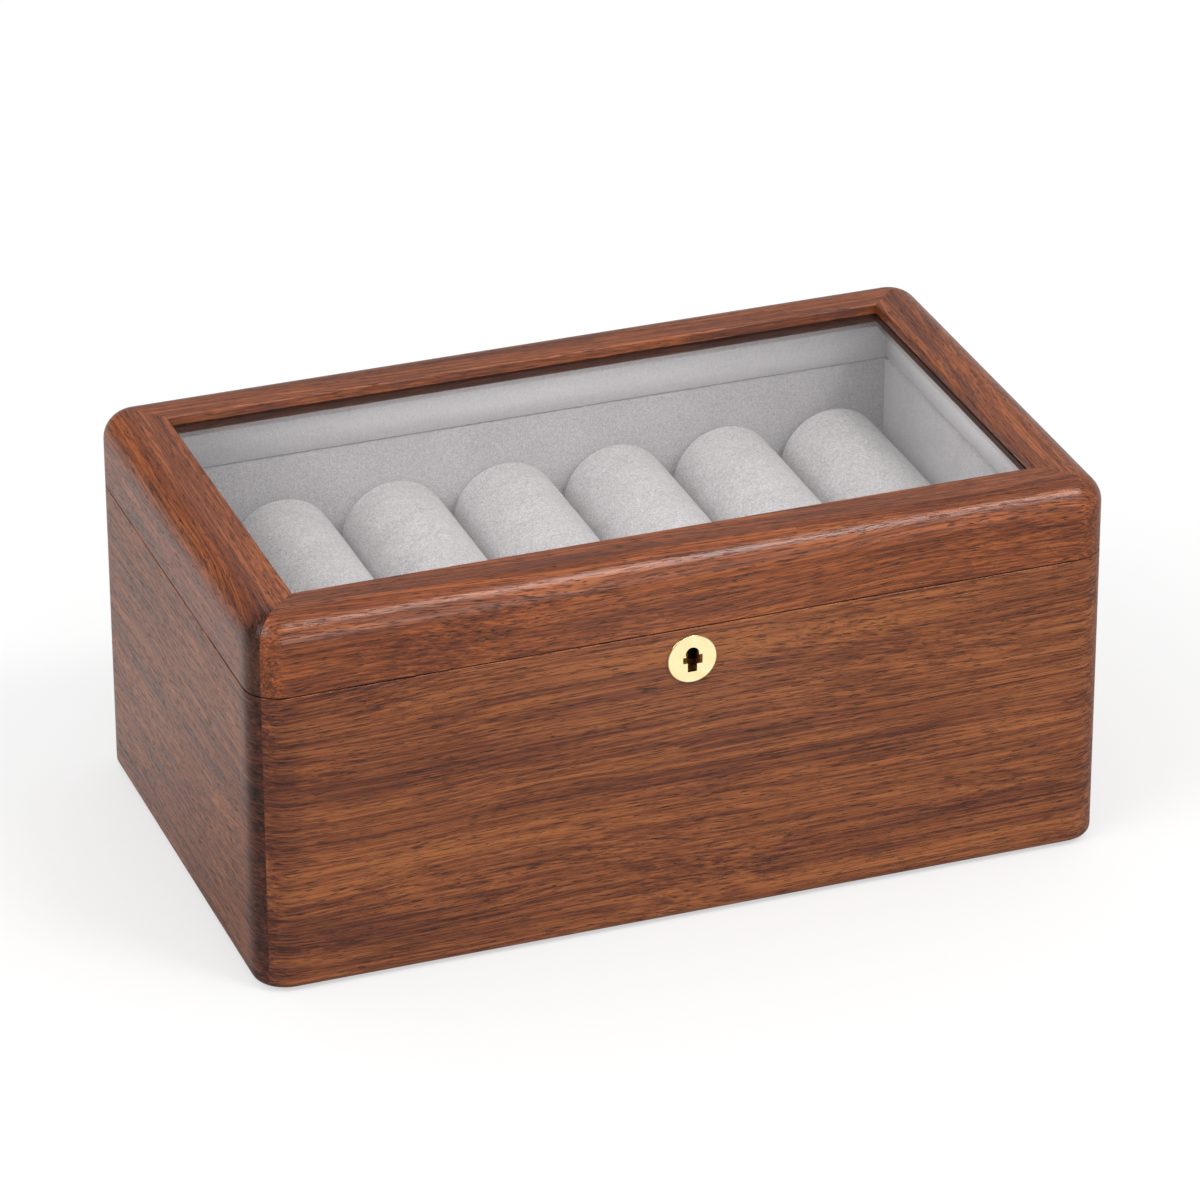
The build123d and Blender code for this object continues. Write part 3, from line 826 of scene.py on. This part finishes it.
@dataclass
class RollRack:
    """Six velvet rolls and the two cradle boards that carry them."""

    velvet: Material
    board_velvet: Material
    card: Material
    nodes: dict[str, bpy.types.Object]
    count: int = 6
    shoulder: float = 2.6 * MM
    crown: float = 0.35 * MM
    lip: float = 17.3 * MM
    lip_share: float = 0.25
    disc_radius: float = 16.9 * MM
    disc_recess: float = 1.4 * MM
    disc_dome: float = 0.9 * MM
    disc_depth: float = 7.0 * MM
    disc_flatness: float = 2.4
    disc_ring_steps: int = 64
    ring_steps: int = 128
    length_steps: int = 48
    round_steps: int = 8
    unevenness: float = 0.16 * MM
    padding_cell: tuple[float, float, float] = (13.0 * MM, 22.0 * MM, 13.0 * MM)
    padding_step: float = 7.3
    seat_clearance: float = 0.3 * MM
    seat_steps: int = 28
    cradle_radius: float = 0.8 * MM

    def sleeve(self, number: int) -> None:
        """One roll's padded sleeve, with soft shoulders turned in over its ends.

        Args:
            number: Which roll, from the left.
        """
        node = f"roll_{number}_sleeve"
        low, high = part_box(node)
        centre = (low + high) / 2
        end = (high.y - low.y) / 2
        radius = (high.x - low.x) / 2 - self.unevenness
        edge = radius - self.crown
        inner = end - self.disc_depth
        half = [(0.0, inner), (self.lip, inner), (self.lip, end - self.shoulder / 2)]
        half.append((self.lip + self.lip_share * self.shoulder, end))
        for i in range(self.round_steps + 1):
            angle = math.radians(90 - i * 90 / self.round_steps)
            inwards = self.shoulder * (1 - math.cos(angle))
            half.append((edge - inwards, end - self.shoulder * (1 - math.sin(angle))))
        profile = [(r, -a) for r, a in half]
        span = end - self.shoulder
        for i in range(1, self.length_steps):
            along = -span + 2 * span * i / self.length_steps
            profile.append((edge + self.crown * (1 - (along / span) ** 2), along))
        profile += reversed(half)

        def wander(point: Vector) -> float:
            """A gentle unevenness of the padding under the velvet.

            Args:
                point: A point on the smooth roll.

            Returns:
                How far it is pushed outwards.
            """
            scaled = Vector(p / size for p, size in zip(point, self.padding_cell))
            return self.unevenness * noise.noise(scaled + Vector((number * self.padding_step, 0.0, 0.0)))

        bm = bmesh.new()
        revolve_rings(bm, profile, centre, self.ring_steps, wander)
        piece = mesh_object(f"velvet_roll_{number}", bm, self.velvet)
        stand_in(piece, node, f"roll_{number}")

    def discs(self, number: int) -> None:
        """The two domed velvet discs in a roll's ends, and the card tube's finish.

        Args:
            number: Which roll, from the left.
        """
        node = f"roll_{number}_end_discs"
        low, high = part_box(f"roll_{number}_sleeve")
        centre = (low + high) / 2
        end = (high.y - low.y) / 2 - self.disc_recess
        bm = bmesh.new()
        for sign in (-1, 1):
            inner = sign * (end - self.disc_depth)
            profile = [(0.0, inner), (self.disc_radius, inner)]
            for i in range(self.round_steps + 1):
                share = 1 - i / self.round_steps
                fall = self.disc_dome * share**self.disc_flatness
                profile.append((self.disc_radius * share, sign * (end - fall)))
            revolve_rings(bm, profile, centre, self.disc_ring_steps, lambda point: 0.0)
        piece = mesh_object(f"velvet_roll_{number}_ends", bm, self.velvet)
        stand_in(piece, node, f"roll_{number}")
        dress_nodes(self.nodes, [f"roll_{number}_tube"], self.card)

    def cradle(self, side: str) -> None:
        """A velvet-covered board with a half-round seat for the end of each roll.

        Args:
            side: Front or back.
        """
        low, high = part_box(f"cradle_{side}")
        outline = [Vector((high.x, low.y, low.z)), Vector((high.x, low.y, high.z))]
        for number in range(self.count, 0, -1):
            first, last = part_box(f"roll_{number}_sleeve")
            middle = (first + last) / 2
            radius = (last.x - first.x) / 2 + self.seat_clearance
            half_angle = math.acos((middle.z - high.z) / radius)
            for i in range(self.seat_steps + 1):
                angle = half_angle * (1 - 2 * i / self.seat_steps)
                x, z = middle.x + radius * math.sin(angle), middle.z - radius * math.cos(angle)
                outline.append(Vector((x, low.y, z)))
        outline += [Vector((low.x, low.y, high.z)), Vector((low.x, low.y, low.z))]
        bm = bmesh.new()
        outline_prism(bm, outline, Vector((0.0, high.y - low.y, 0.0)))
        soften(bm, self.cradle_radius, segments=3, least_angle=0.7)
        piece = mesh_object(f"velvet_cradle_{side}", bm, self.board_velvet)
        stand_in(piece, f"cradle_{side}", "base")

    def build(self) -> None:
        """Build the rolls and the cradles."""
        for number in range(1, self.count + 1):
            self.sleeve(number)
            self.discs(number)
        for side in ("front", "back"):
            self.cradle(side)


@dataclass
class Ironmongery:
    """The brass: hinges, lock and slotted screws."""

    nodes: dict[str, bpy.types.Object]
    satin: Material
    polished: Material
    # Dark brass for the lock case: painted shade seen through the keyhole.
    keyhole_shade: Material
    screw_radius: float = 1.0 * MM
    head_radius: float = 2.0 * MM
    countersink_half_angle: float = 41.0
    shank_share: float = 0.9
    point_share: float = 0.3
    slot_width: float = 0.45 * MM
    slot_depth: float = 0.4 * MM
    slot_reach: float = 0.97
    first_turn: float = 0.4
    turn_step: float = 1.7
    ring_steps: int = 32

    def screw(self, bm: bmesh.types.BMesh, place: Vector, up: float, length: float, turn: float) -> None:
        """Add one countersunk screw with a slotted head, with its head's face at place.

        Args:
            bm: Where it is added.
            place: The middle of the head's face.
            up: 1 where the shank points up, -1 where it points down.
            length: The whole screw's length.
            turn: Which way the slot points, in radians.
        """
        slope = math.tan(math.radians(self.countersink_half_angle))
        head_height = (self.head_radius - self.screw_radius) / slope
        rings: list[list[bmesh.types.BMVert]] = []
        for radius, depth in (
            (self.head_radius, 0.0),
            (self.screw_radius, head_height),
            (self.screw_radius, length * self.shank_share),
            (self.screw_radius * self.point_share, length),
        ):
            ring = []
            for i in range(self.ring_steps):
                angle = 2 * math.pi * i / self.ring_steps + turn
                out = Vector((math.cos(angle) * radius, math.sin(angle) * radius, up * depth))
                ring.append(bm.verts.new(place + out))
            rings.append(ring)
        for low, high in zip(rings, rings[1:]):
            for i in range(self.ring_steps):
                j = (i + 1) % self.ring_steps
                bm.faces.new((low[i], low[j], high[j], high[i]))
        bm.faces.new(rings[-1])
        self.slotted_face(bm, rings[0], place, up, turn)

    def slotted_face(
        self,
        bm: bmesh.types.BMesh,
        rim: list[bmesh.types.BMVert],
        place: Vector,
        up: float,
        turn: float,
    ) -> None:
        """Close a screw's head with two flats and the slot between them.

        Args:
            bm: Where it is added.
            rim: The points round the head's face.
            place: The middle of the head's face.
            up: 1 where the shank points up, -1 where it points down.
            turn: Which way the slot points, in radians.
        """
        half = self.slot_width / 2
        across = Vector((-math.sin(turn), math.cos(turn), 0.0))
        ends = [v for v in rim if abs((v.co - place).dot(across)) <= half]
        first, second = ends[0], ends[-1]
        start = rim.index(first)
        loop = rim[start:] + rim[:start]
        middle = loop.index(second)
        upper, lower = loop[1:middle], loop[middle + 1 :]
        reach = math.sqrt(self.head_radius**2 - half**2) * self.slot_reach
        down = Vector((0.0, 0.0, up * self.slot_depth))
        floor: list[bmesh.types.BMVert] = []
        edges: list[bmesh.types.BMVert] = []
        for end, sign in ((first, 1), (first, -1), (second, -1), (second, 1)):
            corner = place + (end.co - place).normalized() * reach + across * half * sign
            edges.append(bm.verts.new(corner))
            floor.append(bm.verts.new(corner + down))
        bm.faces.new([edges[0], *upper, edges[3]])
        bm.faces.new([edges[2], *lower, edges[1]])
        bm.faces.new((edges[1], lower[-1], first, upper[0], edges[0]))
        bm.faces.new((edges[3], upper[-1], second, lower[0], edges[2]))
        bm.faces.new(floor)
        for i in range(4):
            j = (i + 1) % 4
            bm.faces.new((edges[i], edges[j], floor[j], floor[i]))

    def screws(self, node: str, body: str, places: Iterable[Vector], up: float) -> None:
        """Replace a CAD group of screws with slotted ones.

        Args:
            node: The CAD group.
            body: The body that it rides on.
            places: The middles of the heads' faces.
            up: 1 where the shanks point up, -1 where they point down.
        """
        low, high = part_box(node)
        bm = bmesh.new()
        for number, place in enumerate(places):
            self.screw(bm, place, up, high.z - low.z, self.first_turn + number * self.turn_step)
        piece = mesh_object(f"slotted_{node}", bm, self.satin)
        piece.data.polygons.foreach_set("use_smooth", [False] * len(piece.data.polygons))
        stand_in(piece, node, body)

    def outer_heads(self, node: str, up: float) -> list[Vector]:
        """Where the first and the last head of a CAD group of screws are.

        Args:
            node: The CAD group.
            up: 1 where the shanks point up, -1 where they point down.

        Returns:
            The middles of the two heads' faces.
        """
        low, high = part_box(node)
        level = high.z if up < 0 else low.z
        middle = (low.y + high.y) / 2
        return [Vector((x, middle, level)) for x in (low.x + self.head_radius, high.x - self.head_radius)]

    def build(self) -> None:
        """Dress the brass and build the screws."""
        hinges = [f"hinge_{part}_{side}" for side in HANDS for part in ("base_leaf", "lid_leaf", "pin")]
        dress_nodes(self.nodes, [*hinges, "lock_bolt", "strike_plate", "strike_tongues"], self.satin)
        # The lock case gets the dark brass: painted shade inside the keyhole.
        dress_nodes(self.nodes, ["lock_case"], self.keyhole_shade)
        dress_nodes(self.nodes, ["lock_escutcheon"], self.polished)
        for node, body, up in (("hinge_base_screws", "base", -1.0), ("hinge_lid_screws", "lid", 1.0)):
            places = []
            for side, outer in zip(HANDS, self.outer_heads(node, up)):
                low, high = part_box(f"hinge_base_leaf_{side}")
                centre = (low.x + high.x) / 2
                pitch = abs(centre - outer.x)
                places += [Vector((centre + step * pitch, outer.y, outer.z)) for step in (-1, 0, 1)]
            self.screws(node, body, places, up)
        for node, body, up in (("lock_screws", "base", -1.0), ("strike_screws", "lid", 1.0)):
            self.screws(node, body, self.outer_heads(node, up), up)


@dataclass(frozen=True)
class Lamp:
    """A square soft light that is aimed at the box."""

    name: str
    place: tuple[float, float, float]
    size: float
    watts: float
    colour: tuple[float, float, float] = (1.0, 0.99, 0.98)


@dataclass
class Studio:
    """The pale floor, the soft lights and the camera at the photo's angle.

    Reflections see a darker room than the eye does: mirror_left and mirror_right are the far walls, flagged
    is the floor in front of the box, behind is the floor past it, and the card is what lights up the brass.
    """

    azimuth: float = -20.2
    elevation: float = 27.4
    distance: float = 2.425
    lens: float = 193.4
    sensor: float = 36.0
    farthest: float = 50.0
    roll: float = -0.17
    aim: tuple[float, float, float] = (0.0, 0.0, 0.065)
    slide_right: float = 0.0008
    slide_up: float = 0.0169
    floor_size: float = 12.0
    floor_drop: float = 0.2 * MM
    ambient: float = 0.88
    mirror_left: float = 0.08
    mirror_right: float = 0.34
    mirror_from: float = -0.35
    mirror_to: float = 0.15
    floor_grey: float = 0.38
    floor_white: float = 0.54
    flag_from: float = -0.03
    flag_to: float = 0.12
    flagged: float = 0.32
    behind: float = 0.64
    card_place: tuple[float, float, float] = (0.07, -0.30, 0.0)
    card_reach: float = 0.09
    card_core: float = 0.5
    card_white: float = 1.1
    lamps: tuple[Lamp, ...] = (
        Lamp("key_light", (1.7, -1.9, 3.1), size=1.7, watts=18.0),
        Lamp("edge_light", (1.25, -1.75, 3.35), size=0.8, watts=30.0, colour=(1.0, 0.97, 0.96)),
        Lamp("left_light", (-2.8, -1.0, 2.7), size=2.2, watts=50.0),
        Lamp("front_light", (0.4, -3.8, 0.9), size=1.4, watts=26.0),
    )

    def mirrored_only(self, graph: Graph, path: bpy.types.Node) -> Socket:
        """One for a ray from a reflection, and nought for one that came through glass."""
        straight = graph.math("SUBTRACT", 1.0, path.outputs["Is Transmission Ray"])
        return graph.math("MULTIPLY", path.outputs["Is Glossy Ray"], straight)

    def world(self) -> None:
        """A studio that is white to the eye, dark at its far end to reflections, and dim as a light."""
        world = bpy.data.worlds.new("studio")
        world.use_nodes = True
        world.node_tree.nodes.clear()
        graph = Graph(world.node_tree)
        path = graph.node("ShaderNodeLightPath")
        seen = graph.math("MAXIMUM", path.outputs["Is Camera Ray"], path.outputs["Is Transmission Ray"])
        strength = graph.math("ADD", graph.math("MULTIPLY", seen, 1.0 - self.ambient), self.ambient)
        generated = graph.node("ShaderNodeTexCoord").outputs["Generated"]
        across = graph.node("ShaderNodeSeparateXYZ", {0: generated}).outputs["X"]
        walls = (self.mirror_left, self.mirror_right)
        mirrored = graph.stretch(across, self.mirror_from, self.mirror_to, *walls)
        darker = graph.math("SUBTRACT", mirrored, self.ambient)
        drop = graph.math("MULTIPLY", self.mirrored_only(graph, path), darker)
        strength = graph.math("ADD", strength, drop)
        back = graph.node("ShaderNodeBackground", {"Color": WHITE, "Strength": strength})
        output = graph.node("ShaderNodeOutputWorld")
        graph.tree.links.new(back.outputs[0], output.inputs[0])
        bpy.context.scene.world = world

    def floor_in_mirror(self, graph: Graph) -> Socket:
        """The floor as polished things see it: dark in front, pale behind, with one small white card.

        Args:
            graph: The floor's graph.

        Returns:
            How bright the floor is in a reflection.
        """
        point = graph.node("ShaderNodeNewGeometry").outputs["Position"]
        across = graph.node("ShaderNodeSeparateXYZ", {0: point}).outputs["Y"]
        flag = graph.stretch(across, self.flag_from, self.flag_to, self.flagged, self.behind)
        away = graph.node("ShaderNodeVectorMath", {0: point, 1: self.card_place}, operation="DISTANCE")
        inner = self.card_core * self.card_reach
        card = graph.stretch(away.outputs["Value"], inner, self.card_reach, self.card_white, 0.0)
        return graph.math("MAXIMUM", flag, card)

    def floor(self) -> None:
        """A wide pale floor that keeps the box's shadow."""
        bpy.ops.mesh.primitive_plane_add(size=self.floor_size, location=(0.0, 0.0, -self.floor_drop))
        floor = bpy.context.object
        floor.name = "studio_floor"
        material, graph, surface = start_material("studio_floor")
        grey = (self.floor_grey, self.floor_grey, self.floor_grey, 1.0)
        path = graph.node("ShaderNodeLightPath")
        paper = graph.node("ShaderNodeBsdfDiffuse", {"Color": grey})
        seen = graph.math("MAXIMUM", path.outputs["Is Camera Ray"], path.outputs["Is Transmission Ray"])
        lift = graph.math("MULTIPLY", seen, self.floor_white)
        glow = graph.node("ShaderNodeEmission", {"Color": WHITE, "Strength": lift})
        seen_floor = graph.node("ShaderNodeAddShader", {0: paper.outputs[0], 1: glow.outputs[0]})
        mirror = graph.node("ShaderNodeEmission", {"Color": WHITE, "Strength": self.floor_in_mirror(graph)})
        inputs = {0: self.mirrored_only(graph, path), 1: seen_floor.outputs[0], 2: mirror.outputs[0]}
        mixed = graph.node("ShaderNodeMixShader", inputs)
        graph.tree.links.new(mixed.outputs[0], surface)
        dress(floor, material)

    def light(self, lamp: Lamp) -> None:
        """Hang a lamp.

        Args:
            lamp: What it is and where it hangs.
        """
        data = bpy.data.lights.new(lamp.name, "AREA")
        data.size = lamp.size
        data.energy = lamp.watts
        data.color = lamp.colour
        hung = bpy.data.objects.new(lamp.name, data)
        hung.location = lamp.place
        hung.rotation_euler = (Vector(self.aim) - Vector(lamp.place)).to_track_quat("-Z", "Y").to_euler()
        bpy.context.scene.collection.objects.link(hung)

    def camera(self) -> None:
        """A long lens where the photographer stood."""
        azimuth, elevation, roll = (math.radians(a) for a in (self.azimuth, self.elevation, self.roll))
        level = math.cos(elevation)
        back = Vector((math.sin(azimuth) * level, -math.cos(azimuth) * level, math.sin(elevation)))
        flat = Vector((math.cos(azimuth), math.sin(azimuth), 0.0))
        upright = back.cross(flat)
        right = flat * math.cos(roll) + upright * math.sin(roll)
        up = upright * math.cos(roll) - flat * math.sin(roll)
        data = bpy.data.cameras.new("camera")
        data.lens = self.lens
        data.sensor_width = self.sensor
        data.clip_end = self.farthest
        camera = bpy.data.objects.new("camera", data)
        place = Vector(self.aim) + back * self.distance + right * self.slide_right + up * self.slide_up
        camera.matrix_world = Matrix.Translation(place) @ Matrix((right, up, back)).transposed().to_4x4()
        bpy.context.scene.collection.objects.link(camera)
        bpy.context.scene.camera = camera

    def build(self) -> None:
        """Set up everything that isn't the box."""
        bpy.context.scene.view_settings.view_transform = "Standard"
        self.camera()
        self.world()
        self.floor()
        for lamp in self.lamps:
            self.light(lamp)


def main() -> None:
    """Load the frame and build each sub-assembly in order."""
    logging.basicConfig(level=logging.INFO, format="%(name)s: %(message)s")
    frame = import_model()
    nodes = frame["nodes"]
    Studio().build()

    velvet = NapFinish("velvet_roll", tip=srgb(226, 223, 224), deep=srgb(154, 151, 153)).material()
    # The base lining is a little darker than the rolls' velvet, partly its own colour and partly painted
    # shade for the walls inside the base.
    lining = NapFinish("velvet_lining", tip=srgb(200, 197, 200), deep=srgb(146, 143, 146)).material()
    # The lid lining is a paler velvet, made paler still as painted light on the strips that the rails keep
    # in shade.
    lid_lining = NapFinish("velvet_lid_lining", tip=srgb(246, 244, 246), deep=srgb(222, 220, 222)).material()
    felt = NapFinish("felt", tip=srgb(58, 58, 62), deep=srgb(34, 34, 37), sheen=0.1).material()
    card = WalnutFinish(
        "wound_card",
        Grain.ALONG_DEPTH,
        light=srgb(190, 165, 130),
        middle=srgb(172, 146, 112),
        dark=srgb(150, 124, 92),
        pore=srgb(120, 96, 70),
        coat=0.0,
    ).material()
    satin = MetalFinish("satin_brass", srgb(226, 190, 112), srgb(196, 158, 88), polish=0.22, smear=0.16)
    # A dark brass for the lock case: painted shade seen through the keyhole.
    keyhole_shade = MetalFinish("keyhole_shade_brass", srgb(150, 112, 58), srgb(96, 68, 36), polish=0.32, smear=0.2)
    polished = MetalFinish("polished_brass", srgb(254, 240, 190), srgb(252, 234, 176), polish=0.1, smear=0.1)

    WalnutCase(nodes).build()
    dress_nodes(nodes, ["glass_pane"], GlassFinish("clear_glass").material())
    VelvetLining(lining, lid_lining, felt).build()
    RollRack(velvet, lining, card, nodes).build()
    Ironmongery(nodes, satin.material(), polished.material(), keyhole_shade.material()).build()


if __name__ == "__main__":
    main()
